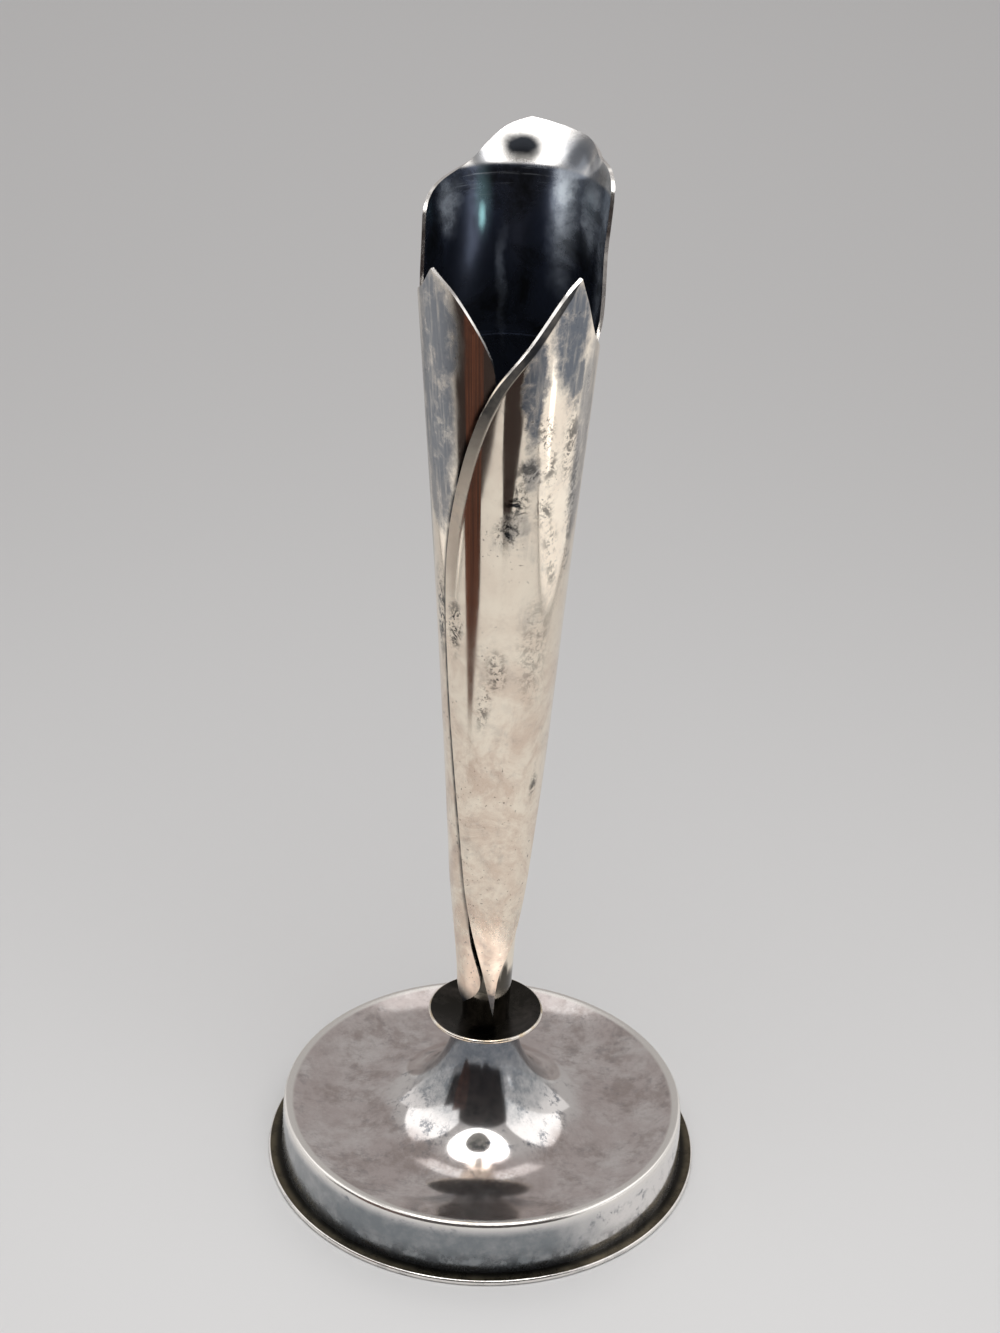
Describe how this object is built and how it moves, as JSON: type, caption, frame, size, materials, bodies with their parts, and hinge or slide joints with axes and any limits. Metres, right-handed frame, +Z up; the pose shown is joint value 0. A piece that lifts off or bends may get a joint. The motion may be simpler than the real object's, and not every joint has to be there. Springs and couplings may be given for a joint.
{
  "type": "bud vase",
  "caption": "Slender plated-metal bud vase: pointed petals lapped round a tapered water tube, one tip folded back, in a shallow collar on a wide round trumpet foot.",
  "frame": {"origin": "middle of the foot ring's underside, on the surface the vase stands on", "axes": "+Z up the stem; -Y is the front, the side of the lapped front petal; +X is to the right seen from the front"},
  "size_m": [0.08, 0.08, 0.1954],
  "materials": {
    "petal_silver": "polished silver plate with patches of tarnish",
    "foot_silver": "polished silver plate under a thin haze",
    "tube_silver": "polished silver plate",
    "dark_silver": "silver plate dulled dark by tarnish",
    "brass": "turned, unplated",
    "steel": "threaded rod"
  },
  "bodies": {
    "root": {"foot_ring": "dark_silver", "foot_shell": "foot_silver", "collar": "dark_silver", "water_tube": "tube_silver", "tube_plug": "brass", "fixing_stud": "steel", "clamp_washer": "brass", "fixing_nut": "brass", "back_petal": "petal_silver", "left_petal": "petal_silver", "front_petal": "petal_silver"}
  },
  "joints": []
}
